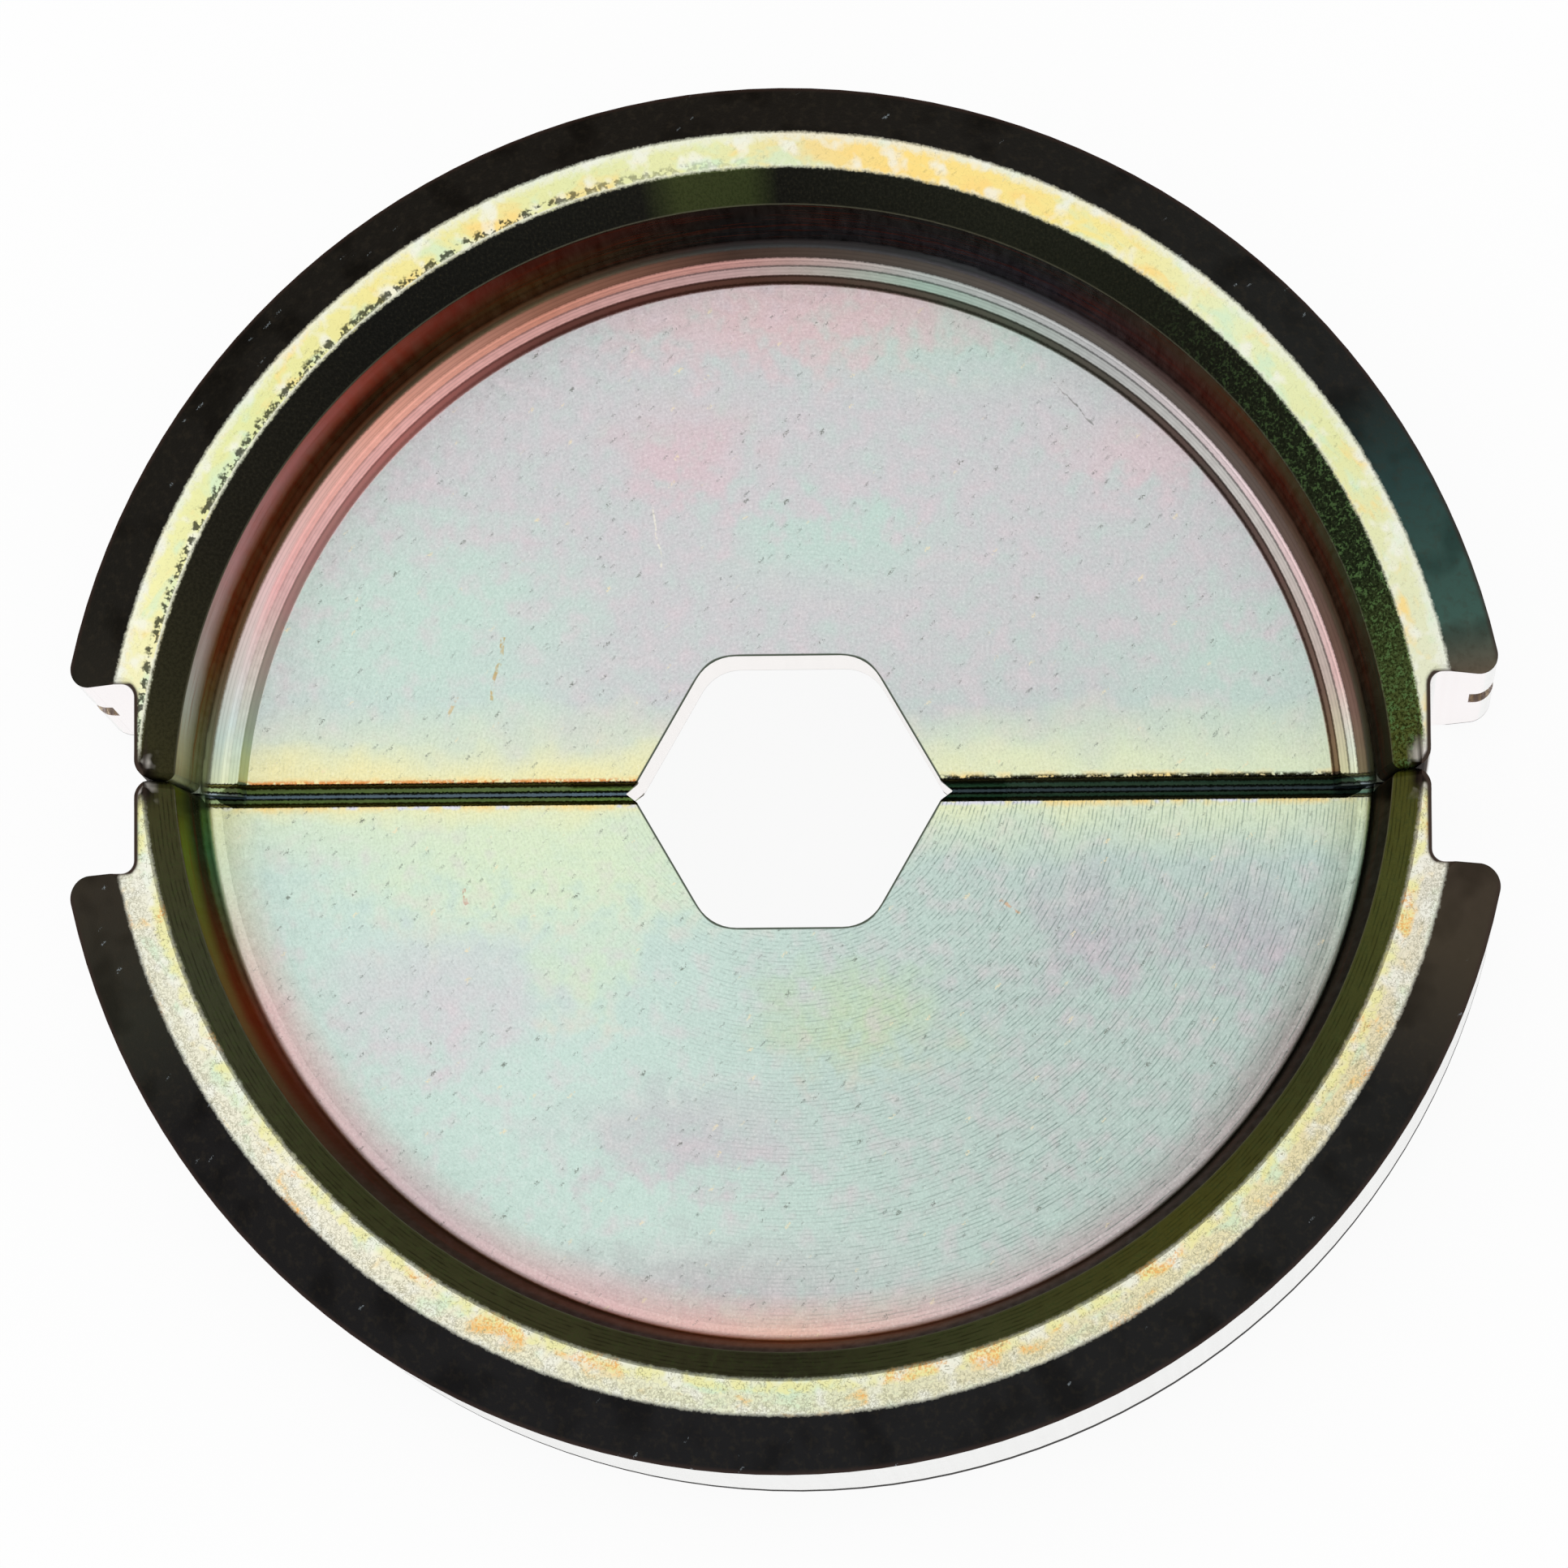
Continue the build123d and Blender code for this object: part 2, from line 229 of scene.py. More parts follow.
# Single colours of the finish, and where they are used
TINTS = {
    # Web
    "ledged web": (203, 203, 205),
    "plain web": (202, 223, 214),
    "pink cloud": (222, 202, 209),
    "mint cloud": (192, 216, 206),
    "joint green": (222, 233, 196),
    "joint yellow": (240, 230, 172),
    "joint gold": (240, 214, 146),
    "orange fringe": (222, 150, 84),
    "black fringe": (44, 44, 28),
    "flaked fringe": (220, 220, 230),
    "bright grain": (238, 240, 236),
    "turned line": (80, 106, 98),
    "pit": (88, 94, 88),
    "dark fleck": (96, 100, 90),
    "pale fleck": (238, 222, 184),
    "hexagon wall": (255, 255, 255),
    "hexagon outline": (78, 86, 75),
    # Wall of the recess
    "wall line": (128, 66, 30),
    "wall scratch": (150, 84, 50),
    # Mouth
    "green flake": (112, 150, 92),
    "brown flake": (70, 64, 46),
    "olive flake": (76, 88, 52),
    "mouth turned line": (30, 30, 22),
    "mouth edge": (118, 116, 98),
    # Land
    "gold blotch": (246, 212, 132),
    "mint blotch": (206, 230, 200),
    "white blotch": (238, 238, 228),
    "worn outer edge": (232, 234, 222),
    "worn inner edge": (228, 230, 212),
    "yellow inner edge": (230, 226, 158),
    "rough land": (146, 142, 120),
    "land crack": (120, 116, 86),
    "gold fleck": (230, 168, 92),
    "land pit": (44, 46, 32),
    "land bright line": (226, 226, 204),
    "land speck": (112, 108, 78),
    # Outer bevel
    "bevel mottle": (66, 60, 50),
    "bevel edge": (62, 50, 46),
    "bevel dust": (150, 160, 165),
    # Seat, shoulders and flanks
    "side": (242, 242, 240),
    "side streak": (212, 211, 205),
    "under shoulder": (255, 247, 247),
    "shoulder speck": (150, 120, 112),
    # Slot: brown painted shade inside the catch slot
    "slot": (110, 76, 60),
    "slot rib": (170, 140, 92),
    # Rim end and joint end: painted shade in the joint between the halves
    "rim end": (40, 35, 32),
    "rim end spot": (226, 222, 218),
    "joint end": (42, 36, 32),
    "worn joint end": (214, 208, 202),
    "broken edge": (66, 56, 50),
    # Painted shade along the seat's far edge
    "far seat edge shade": (20, 15, 12),
    # Light thrown back at flat angles
    "warm glint": (255, 205, 170),
    "white glint": (255, 255, 255),
}


def colour(red, green, blue):
    """Colour as a picture program shows it, from 0 to 255, in the linear values that a shader takes."""
    linear = []
    for part in (red, green, blue):
        part = part / 255
        linear.append(part / 12.92 if part <= 0.04045 else ((part + 0.055) / 1.055) ** 2.4)
    return (*linear, 1.0)


class Finish:
    """One node material, with short calls for the nodes that it needs."""

    def __init__(self, name):
        self.material = bpy.data.materials.new(name)
        self.material.use_nodes = True
        self.nodes = self.material.node_tree.nodes
        self.links = self.material.node_tree.links
        self.shader = self.nodes["Principled BSDF"]

    def plug(self, socket, value):
        """Links a socket to another, or gives it a plain value."""
        if isinstance(value, bpy.types.NodeSocket):
            self.links.new(value, socket)
        else:
            socket.default_value = value

    def math(self, operation, *values, clamp=False):
        node = self.nodes.new("ShaderNodeMath")
        node.operation = operation
        node.use_clamp = clamp
        for socket, value in zip(node.inputs, values):
            self.plug(socket, value)
        return node.outputs[0]

    def arrows(self, operation, *values):
        """Node for sums on places and directions."""
        node = self.nodes.new("ShaderNodeVectorMath")
        node.operation = operation
        for socket, value in zip(node.inputs, values):
            self.plug(socket, value)
        return node

    def all_of(self, *masks):
        """Product of several masks; a plain number among them is a strength."""
        product = masks[0]
        for mask in masks[1:]:
            product = self.math("MULTIPLY", product, mask)
        return product

    def flip(self, mask):
        return self.math("SUBTRACT", 1.0, mask)

    def step(self, value, start, end, most=1.0):
        """Rises from 0 at start to the most, 1 unless stated, at end."""
        share = self.math("MULTIPLY_ADD", value, 1 / (end - start), -start / (end - start), clamp=True)
        return share if most == 1.0 else self.math("MULTIPLY", share, most)

    def soft_step(self, value, start, end, most):
        """The same with rounded ends, for wide soft edges."""
        node = self.nodes.new("ShaderNodeMapRange")
        node.interpolation_type = "SMOOTHSTEP"
        sizes = {"Value": value, "From Min": end, "From Max": start, "To Min": most, "To Max": 0.0}
        for name, amount in sizes.items():
            self.plug(node.inputs[name], amount)
        return node.outputs[0]

    def band(self, value, start, end, soft):
        """1 between start and end, with soft edges."""
        rise = self.step(value, start - soft, start + soft)
        return self.math("MULTIPLY", rise, self.step(value, end + soft, end - soft))

    def mix(self, amount, under, over):
        """One colour laid over another by this share."""
        node = self.nodes.new("ShaderNodeMix")
        node.data_type = "RGBA"
        for place, value in ((0, amount), (6, under), (7, over)):
            self.plug(node.inputs[place], colour(*value) if isinstance(value, tuple) else value)
        return node.outputs[2]

    def tint(self, under, name, *masks):
        """A named colour laid over another where all masks hold."""
        return self.mix(self.all_of(*masks), under, TINTS[name])

    def darken(self, amount, under):
        """The same colour, darker by this share."""
        return self.mix(amount, under, (0, 0, 0))

    def ramp(self, value, stops):
        """Colours along a value, from (place, colour) pairs."""
        node = self.nodes.new("ShaderNodeValToRGB")
        elements = node.color_ramp.elements
        elements[0].position, elements[0].color = stops[0][0], colour(*stops[0][1])
        elements[1].position, elements[1].color = stops[-1][0], colour(*stops[-1][1])
        for place, shade in stops[1:-1]:
            elements.new(place).color = colour(*shade)
        self.plug(node.inputs[0], value)
        return node.outputs[0]

    def noise(self, place, scale, detail, roughness, distortion=0.0):
        """Soft random values from 0 to 1."""
        node = self.nodes.new("ShaderNodeTexNoise")
        node.noise_dimensions = "2D"
        sizes = {
            "Vector": place, "Scale": scale, "Detail": detail, "Roughness": roughness, "Distortion": distortion,
        }
        for name, value in sizes.items():
            self.plug(node.inputs[name], value)
        return node.outputs["Fac"]

    def specks(self, place, scale, size):
        """Scattered specks of uneven size, and a second random value for each.

        A cell holds one at most, and many cells have none.
        """
        node = self.nodes.new("ShaderNodeTexVoronoi")
        node.voronoi_dimensions = "2D"
        self.plug(node.inputs["Vector"], place)
        self.plug(node.inputs["Scale"], scale)
        chance = self.nodes.new("ShaderNodeSeparateColor")
        self.plug(chance.inputs[0], node.outputs["Color"])
        reach = self.math("MULTIPLY", self.math("SUBTRACT", chance.outputs[0], 0.35), size * scale)
        soft = 0.02 * scale
        inside = self.step(self.math("SUBTRACT", node.outputs["Distance"], reach), soft, -soft)
        return inside, chance.outputs[1]

    def vector(self, x, y, z):
        node = self.nodes.new("ShaderNodeCombineXYZ")
        for socket, value in zip(node.inputs, (x, y, z)):
            self.plug(socket, value)
        return node.outputs[0]

    def length(self, x, y):
        return self.arrows("LENGTH", self.vector(x, y, 0.0)).outputs["Value"]

    def move(self, place, amount, by):
        """A place pushed about by a random value, so that what is drawn there gets uneven edges."""
        push = self.math("MULTIPLY", self.math("SUBTRACT", by, 0.5), amount)
        return self.arrows("ADD", place, self.vector(push, push, push)).outputs[0]

    def millimetres(self):
        """Place on the part, in millimetres, as a vector and as its three parts."""
        place = self.nodes.new("ShaderNodeTexCoord").outputs["Object"]
        scale = self.arrows("SCALE", place)
        scale.inputs["Scale"].default_value = 1000.0
        split = self.nodes.new("ShaderNodeSeparateXYZ")
        self.plug(split.inputs[0], scale.outputs[0])
        return (scale.outputs[0], *split.outputs)


class PlatedSteel(Finish):
    """Iridescent zinc plating on both halves, coloured ring by ring from the web out to the curved seat."""

    def __init__(self):
        super().__init__("plated_steel")
        self.place, self.x, self.y, z = self.millimetres()
        self.across = self.math("ABSOLUTE", self.y)
        from_centre = self.math("ADD", self.across, CENTRE_SETBACK)
        self.radius = self.length(self.x, from_centre)
        self.turn = self.math("DIVIDE", self.math("ARCTAN2", from_centre, self.x), math.pi)
        self.from_middle = self.math("SUBTRACT", z, RIM_THICKNESS / 2)
        self.height = self.math("ABSOLUTE", self.from_middle)
        self.reach = self.math("ABSOLUTE", self.x)
        # The ledge is in front on the upper half and at the back on the lower half
        self.ledged = self.math("GREATER_THAN", self.math("MULTIPLY", self.y, self.from_middle), 0.0)
        self.grain = self.noise(self.place, *GRAIN)
        self.mottle = self.noise(self.place, *MOTTLE)
        self.cloud = self.noise(self.place, *CLOUD)
        self.wander = self.noise(self.place, *WANDER)
        self.tool_mark = self.tool_marks()
        along_arc = self.math("MULTIPLY", self.turn, 14.0)
        along = self.vector(along_arc, self.math("MULTIPLY", self.from_middle, 5.0), 0.0)
        self.streak = self.noise(along, *STREAK)
        moved = self.move(self.place, 0.45, self.grain)
        self.small_specks, self.small_chance = self.specks(moved, *SMALL_SPECKS)
        self.large_specks, self.large_chance = self.specks(moved, *LARGE_SPECKS)
        # Place in a plane with the ledged side above and the plain side below, pushed about by soft noise
        side = self.math("MULTIPLY_ADD", self.ledged, 2.0, -1.0)
        self.sided = self.math("MULTIPLY", self.across, side)
        push_x = self.math("MULTIPLY_ADD", self.cloud, 5.0, -2.5)
        push_y = self.math("MULTIPLY_ADD", self.wander, 3.0, -1.5)
        self.wandering = self.vector(self.math("ADD", self.x, push_x), self.math("ADD", self.sided, push_y), 0.0)

    def tool_marks(self):
        """Fine turned lines round the arc's axis, uneven in strength."""
        waver = self.math("MULTIPLY", self.wander, 2.5)
        turns = self.math("MULTIPLY", self.radius, 2 * math.pi / TOOL_MARK_SPACING)
        wave = self.math("SINE", self.math("ADD", turns, waver))
        along_arc = self.math("MULTIPLY", self.turn, 70.0)
        stretched = self.vector(along_arc, self.math("MULTIPLY", self.radius, 6.0), 0.0)
        breaks = self.step(self.noise(stretched, 1.0, 2.0, 0.6), 0.38, 0.62)
        return self.all_of(self.step(wave, 0.1, 0.95), breaks)

    def by_side(self, ledged_shade, plain_shade):
        return self.mix(self.ledged, plain_shade, ledged_shade)

    def both_sides(self, ring):
        """A ring's colours on the ledged side and on the plain side."""
        return [self.ramp(self.turn, shades[ring]) for shades in (LEDGED_SHADES, PLAIN_SHADES)]

    def patched(self, under, patches):
        """Soft oval patches of other plating colours over one colour."""
        for x, y, half_width, half_height, shade in patches:
            scale = (1 / half_width, 1 / half_height, 0.0)
            shift = (-x / half_width, -y / half_height, 0.0)
            oval = self.arrows("MULTIPLY_ADD", self.wandering, scale, shift)
            reach = self.arrows("LENGTH", oval.outputs[0]).outputs["Value"]
            under = self.mix(self.soft_step(reach, 1.5, 0.2, PATCH_STRENGTH), under, shade)
        return under

    def scratched(self, under, scratches):
        """Broken thin scratches over one colour."""
        breaks = self.step(self.mottle, 0.38, 0.52)
        bent = self.move(self.vector(self.x, self.sided, 0.0), 0.3, self.wander)
        for start, finish, half_width, shade in scratches:
            run = math.hypot(finish[0] - start[0], finish[1] - start[1])
            along = ((finish[0] - start[0]) / run, (finish[1] - start[1]) / run)
            across = (-along[1], along[0])
            middle = ((start[0] + finish[0]) / 2, (start[1] + finish[1]) / 2)
            masks = [breaks]
            for way, half in ((along, run / 2), (across, half_width)):
                distance = self.arrows("DOT_PRODUCT", bent, (*way, 0.0)).outputs["Value"]
                centre = middle[0] * way[0] + middle[1] * way[1]
                masks.append(self.math("COMPARE", distance, centre, half))
            under = self.mix(self.all_of(*masks), under, shade)
        return under

    def from_hexagon(self):
        """Distance outside the rounded hexagon, in millimetres."""
        along_flat = self.math("MULTIPLY", self.reach, math.cos(math.pi / 6))
        slant = self.math("ADD", along_flat, self.math("MULTIPLY", self.across, 0.5))
        return self.math("SUBTRACT", self.math("SMOOTH_MAX", self.across, slant, HEX_ROUNDING), HEX_FLAT)

    def web(self):
        """Flat of the web: clouded pale plating with scratches, yellow near the joint, turned lines and pits."""
        shade = self.by_side(TINTS["ledged web"], TINTS["plain web"])
        shade = self.scratched(self.patched(shade, PATCHES), SCRATCHES)
        shade = self.tint(shade, "pink cloud", self.step(self.wander, 0.5, 0.85, 0.45))
        shade = self.tint(shade, "mint cloud", self.step(self.wander, 0.5, 0.15, 0.45))

        # Yellow along the joint, narrower on the plain side
        uneven = self.math("MULTIPLY_ADD", self.cloud, 1.4, -0.7)
        shift = self.math("ADD", uneven, self.math("MULTIPLY", self.ledged, -0.5))
        from_joint = self.math("ADD", self.across, shift)
        shade = self.tint(shade, "joint green", self.step(from_joint, 2.4, 0.3, 0.8))
        shade = self.tint(
            shade, "joint yellow", self.step(from_joint, 1.1, 0.0), self.step(self.x, 14.0, -6.0, 0.8)
        )

        # Gold and a ragged fringe at the bevel's edge, orange on the left and black on the right
        edge = self.math("ADD", self.across, self.math("MULTIPLY_ADD", self.mottle, 0.16, -0.08))
        shade = self.tint(shade, "joint gold", self.step(edge, 0.6, 0.4), self.step(self.wander, 0.4, 0.65))
        fringe = self.mix(self.step(self.x, -3.0, 3.0), TINTS["orange fringe"], TINTS["black fringe"])
        ragged = self.all_of(self.step(edge, 0.5, 0.42), self.ledged, self.step(self.mottle, 0.38, 0.5))
        shade = self.mix(ragged, shade, fringe)
        shade = self.tint(
            shade, "flaked fringe",
            self.step(edge, 0.5, 0.42), self.flip(self.ledged), self.step(self.wander, 0.5, 0.42),
        )

        # Pink towards the wall of the plain side
        glow = self.all_of(self.step(self.radius, 16.7, 17.9), self.step(self.ledged, 1.0, 0.0, 0.85))
        shade = self.mix(glow, shade, self.ramp(self.turn, PLAIN_SHADES["fringe"]))

        # Fine grain, then turned lines, which are deep on the right of the plain side
        shade = self.darken(self.step(self.grain, 0.55, 0.25, 0.13), shade)
        shade = self.tint(shade, "bright grain", self.step(self.grain, 0.58, 0.78, 0.3))
        right = self.step(self.math("ADD", self.x, self.math("MULTIPLY", self.across, -0.25)), -7.0, 5.0)
        depth = self.math("MULTIPLY_ADD", self.all_of(right, self.flip(self.ledged)), 0.46, 0.06)
        shade = self.tint(shade, "turned line", self.tool_mark, depth)

        # Pits and flecks
        crowding = self.step(self.cloud, 0.35, 0.6)
        shade = self.tint(shade, "pit", self.small_specks, self.math("MULTIPLY_ADD", crowding, 0.4, 0.25))
        pale = self.math("GREATER_THAN", self.large_chance, 0.42)
        fleck = self.mix(pale, TINTS["dark fleck"], TINTS["pale fleck"])
        return self.mix(self.all_of(self.large_specks, 0.75), shade, fleck)

    def land(self):
        """Flat ring that rests in the tool: bright, mottled, with worn and pitted edges."""
        shade = self.by_side(*self.both_sides("land"))
        along_arc = self.math("MULTIPLY", self.turn, 60.0)
        run = self.vector(along_arc, self.math("MULTIPLY", self.radius, 1.6), self.ledged)
        blotch = self.noise(run, 0.55, 3.0, 0.6, 0.3)
        shade = self.tint(shade, "gold blotch", self.step(blotch, 0.56, 0.72, 0.8))
        shade = self.tint(shade, "mint blotch", self.step(blotch, 0.44, 0.3, 0.7))
        shade = self.tint(shade, "white blotch", self.step(self.wander, 0.55, 0.72, 0.7))
        through = self.math("SUBTRACT", self.radius, LAND_INNER_RADIUS)
        worn = self.math("ADD", through, self.math("MULTIPLY_ADD", self.mottle, 0.45, -0.225))
        shade = self.tint(shade, "worn outer edge", self.step(worn, 0.8, 1.05, 0.7))
        shade = self.tint(shade, "worn inner edge", self.step(worn, 0.2, 0.05, 0.6))

        # The plain side is rougher towards its outer edge, with a yellow inner edge and gold flecks
        plain_side = self.flip(self.ledged)
        inner = self.all_of(self.band(worn, -0.05, 0.32, 0.08), plain_side, self.step(self.wander, 0.62, 0.42))
        shade = self.tint(shade, "yellow inner edge", inner, 0.8)
        rough = self.all_of(self.step(worn, 0.2, 0.75), plain_side, self.step(self.grain, 0.54, 0.36))
        shade = self.tint(shade, "rough land", rough, 0.55)
        crack = self.step(self.math("ABSOLUTE", self.math("SUBTRACT", self.mottle, 0.5)), 0.035, 0.005)
        strength = (self.step(self.grain, 0.35, 0.55), self.math("MULTIPLY_ADD", plain_side, 0.5, 0.15))
        shade = self.tint(shade, "land crack", crack, *strength)
        gold = self.all_of(plain_side, self.step(blotch, 0.6, 0.68), self.step(self.grain, 0.45, 0.6))
        shade = self.tint(shade, "gold fleck", gold, 0.8)

        # Dark pits beside a thin bright line along the inner edge, towards the left of the ledged side
        left = self.all_of(self.ledged, self.step(self.turn, 0.5, 0.62))
        pits = self.all_of(self.band(worn, 0.1, 0.34, 0.05), self.step(self.mottle, 0.56, 0.47), left)
        shade = self.tint(shade, "land pit", pits, 0.9)
        shade = self.tint(shade, "land bright line", left, self.band(through, 0.07, 0.13, 0.02))
        return self.tint(
            shade, "land speck", self.small_specks, self.math("MULTIPLY_ADD", self.ledged, -0.3, 0.6)
        )

    def rings(self, web):
        """Rings of the recess, laid over one another from the web outwards."""
        uneven = self.math("MULTIPLY_ADD", self.grain, 0.05, -0.025)
        radius = self.math("ADD", self.radius, uneven)
        wave = self.math("SINE", self.math("MULTIPLY", self.radius, 2 * math.pi / STEP_LINE_SPACING))
        line = self.step(wave, 0.2, 1.0, 0.16)
        sides = []
        for shades, starts in ((LEDGED_SHADES, LEDGED_RINGS), (PLAIN_SHADES, PLAIN_RINGS)):
            shade = web
            for ring, start in starts:
                ring_shade = self.ramp(self.turn, shades[ring])
                inside = self.step(radius, start - RING_SOFTNESS, start + RING_SOFTNESS)
                shade = self.mix(inside, shade, ring_shade)
            if shades is LEDGED_SHADES:
                shade = self.darken(self.all_of(line, self.step(radius, WEB_RADIUS, LEDGE_RADIUS)), shade)
                across = self.step(radius, EDGE_LINES_FROM, EDGE_LINES_TO)
                thin = self.all_of(self.ramp(across, EDGE_LINES), self.step(self.turn, 0.95, 0.5, 0.85))
                shade = self.darken(thin, shade)
            high = self.step(self.height, *HIGH_WALL)
            shade = self.mix(high, shade, self.ramp(self.turn, shades["high wall"]))
            sides.append(shade)
        shade = self.by_side(*sides)

        # Wall: an orange line midway, and faint orange scratches
        on_wall = self.all_of(self.band(self.height, 3.0, MOUTH_LEVEL, 0.05), self.step(self.radius, 18.05, 18.2))
        midway = self.math("ADD", self.height, self.math("MULTIPLY_ADD", self.cloud, 0.5, -0.25))
        broken = (self.band(midway, *WALL_LINE, 0.06), self.math("MULTIPLY_ADD", self.mottle, 0.8, 0.1))
        shade = self.tint(shade, "wall line", on_wall, *broken, 0.75)
        return self.tint(shade, "wall scratch", on_wall, self.step(self.streak, 0.56, 0.76), 0.4)

    def mouth(self):
        """Bevel into the recess: nearly black, which is painted dark reflection, flecked with green to the right,
        with fine turned lines.
        """
        ledged, plain = self.both_sides("mouth")
        green_end = self.step(self.turn, 0.3, 0.04)
        flake = self.step(self.math("MULTIPLY_ADD", self.mottle, 0.8, self.grain), 0.95, 1.08)
        ledged = self.tint(ledged, "green flake", flake, green_end)
        shadow = self.step(self.grain, 0.54, 0.4)
        ledged = self.darken(self.all_of(shadow, self.math("MULTIPLY_ADD", green_end, 0.45, 0.25)), ledged)
        ledged = self.tint(ledged, "brown flake", self.step(self.grain, 0.6, 0.74, 0.35))
        plain = self.tint(plain, "mouth turned line", self.tool_mark, 0.5)
        plain = self.tint(plain, "olive flake", flake, 0.4)
        shade = self.by_side(ledged, plain)
        inner_edge = self.band(self.radius, MOUTH_RADIUS - 0.02, MOUTH_RADIUS + 0.03, 0.015)
        return self.tint(shade, "mouth edge", inner_edge, 0.55)

    def outer_bevel(self):
        """Bevel between the land and the curved seat: black, which is painted dark reflection, brown at its edge
        and ends.
        """
        shade = self.by_side(*self.both_sides("bevel"))
        shade = self.tint(shade, "bevel mottle", self.step(self.mottle, 0.5, 0.75, 0.25))
        shade = self.darken(self.step(self.cloud, 0.5, 0.3, 0.3), shade)
        at_seat = self.step(self.radius, SEAT_RADIUS - 0.16, SEAT_RADIUS - 0.02, 0.8)
        shade = self.tint(shade, "bevel edge", at_seat)
        return self.tint(
            shade, "bevel dust", self.small_specks, self.math("GREATER_THAN", self.small_chance, 0.93), 0.7
        )

    def sides(self):
        """Seat, shoulders and flanks: bright bare-looking plating with faint lines along them."""
        shade = self.mix(self.step(self.streak, 0.5, 0.75, 0.4), TINTS["side"], TINTS["side streak"])
        under_shoulder = self.band(self.across, SHOULDER_HEIGHT - 0.06, SHOULDER_HEIGHT + 0.06, 0.02)
        shade = self.tint(shade, "under shoulder", under_shoulder)
        shade = self.tint(shade, "shoulder speck", self.small_specks, under_shoulder, 0.6)

        # Catch slot: brown painted shade inside the slot, ribbed across
        in_slot = self.all_of(
            self.step(self.height, SLOT_HALF_WIDTH + 0.08, SLOT_HALF_WIDTH - 0.04),
            self.band(self.across, SHOULDER_HEIGHT + 0.02, SLOT_TOP + 0.28, 0.02),
            self.step(self.radius, SEAT_RADIUS - 0.02, SEAT_RADIUS - 0.06),
        )
        ribs = self.step(self.math("SINE", self.math("MULTIPLY", self.reach, 26.0)), -0.2, 0.7)
        shade = self.mix(in_slot, shade, self.mix(ribs, TINTS["slot"], TINTS["slot rib"]))

        # Rim's ends at the joint: brown-black painted shade in the joint between the halves, with small bright
        # worn spots
        end = self.all_of(self.step(self.across, 0.95, 0.55), self.step(self.radius, 18.0, 18.4))
        spotted = self.math("ADD", self.grain, self.math("MULTIPLY", self.wander, 0.5))
        worn_spots = self.step(spotted, 0.78, 0.9)
        return self.mix(end, shade, self.mix(worn_spots, TINTS["rim end"], TINTS["rim end spot"]))

    def rim(self, shade):
        """Mouth, land and outer bevel, with the ragged edges that plating leaves."""
        uneven = self.math("MULTIPLY_ADD", self.mottle, 0.09, -0.1)
        ragged = self.math("ADD", uneven, self.math("MULTIPLY_ADD", self.grain, 0.11, self.radius))
        in_mouth = self.all_of(
            self.step(self.radius, MOUTH_RADIUS - 0.04, MOUTH_RADIUS),
            self.step(self.height, MOUTH_LEVEL - 0.1, MOUTH_LEVEL),
        )
        shade = self.mix(in_mouth, shade, self.mouth())
        inner = self.math("MULTIPLY_ADD", self.ledged, LAND_INNER_SHIFT, LAND_INNER_EDGE)
        outer = self.math("MULTIPLY_ADD", self.ledged, LAND_OUTER_SHIFT, LAND_OUTER_EDGE)
        on_top = self.step(self.height, LAND_LEVEL - 0.5, LAND_LEVEL - 0.4)
        past_inner = self.step(self.math("SUBTRACT", ragged, inner), -0.05, 0.05)
        past_outer = self.step(self.math("SUBTRACT", ragged, outer), -0.06, 0.06)
        shade = self.mix(self.all_of(past_inner, on_top), shade, self.land())
        on_bevel = self.all_of(past_outer, self.step(self.radius, 20.4, 20.5))
        return self.mix(on_bevel, shade, self.outer_bevel())

    def worn_and_shaded_ends(self, shade):
        """Dark end of the rim at the joint, painted shade in the joint between the halves, and broken edges round
        the neck and shoulder.
        """
        at_neck = self.all_of(
            self.step(self.reach, 19.45, 19.6), self.step(self.across, SHOULDER_HEIGHT + 0.1, SHOULDER_HEIGHT)
        )
        near_joint = self.all_of(self.step(self.across, 1.0, 0.45), self.step(self.radius, 19.2, 19.5))
        # Near the joint: painted shade, with small pale spots
        worn_end = self.mix(self.step(self.wander, 0.5, 0.62), TINTS["joint end"], TINTS["worn joint end"])
        shade = self.mix(near_joint, shade, worn_end)
        below_top = self.step(self.height, LAND_LEVEL - 0.03, LAND_LEVEL - 0.1)
        on_break = self.step(self.height, LAND_LEVEL - EDGE_BREAK - 0.04, LAND_LEVEL - EDGE_BREAK)
        return self.tint(shade, "broken edge", at_neck, below_top, on_break)

    def outside(self):
        """1 on the seat, shoulders and flanks of the rim."""
        below_land = self.step(self.height, LAND_LEVEL - EDGE_BREAK + 0.02, LAND_LEVEL - EDGE_BREAK - 0.02)
        bevel = SEAT_RADIUS + LAND_LEVEL - OUTER_BEVEL
        off_bevel = self.step(self.math("ADD", self.radius, self.height), bevel - 0.08, bevel - 0.12)
        past_neck = self.step(self.reach, NECK_HALF_WIDTH - 0.05, NECK_HALF_WIDTH - 0.03)
        past_mouth = self.math("MAXIMUM", self.step(self.radius, 19.85, 19.9), past_neck)
        return self.all_of(below_land, off_bevel, self.step(self.radius, 19.25, 19.3), past_mouth)

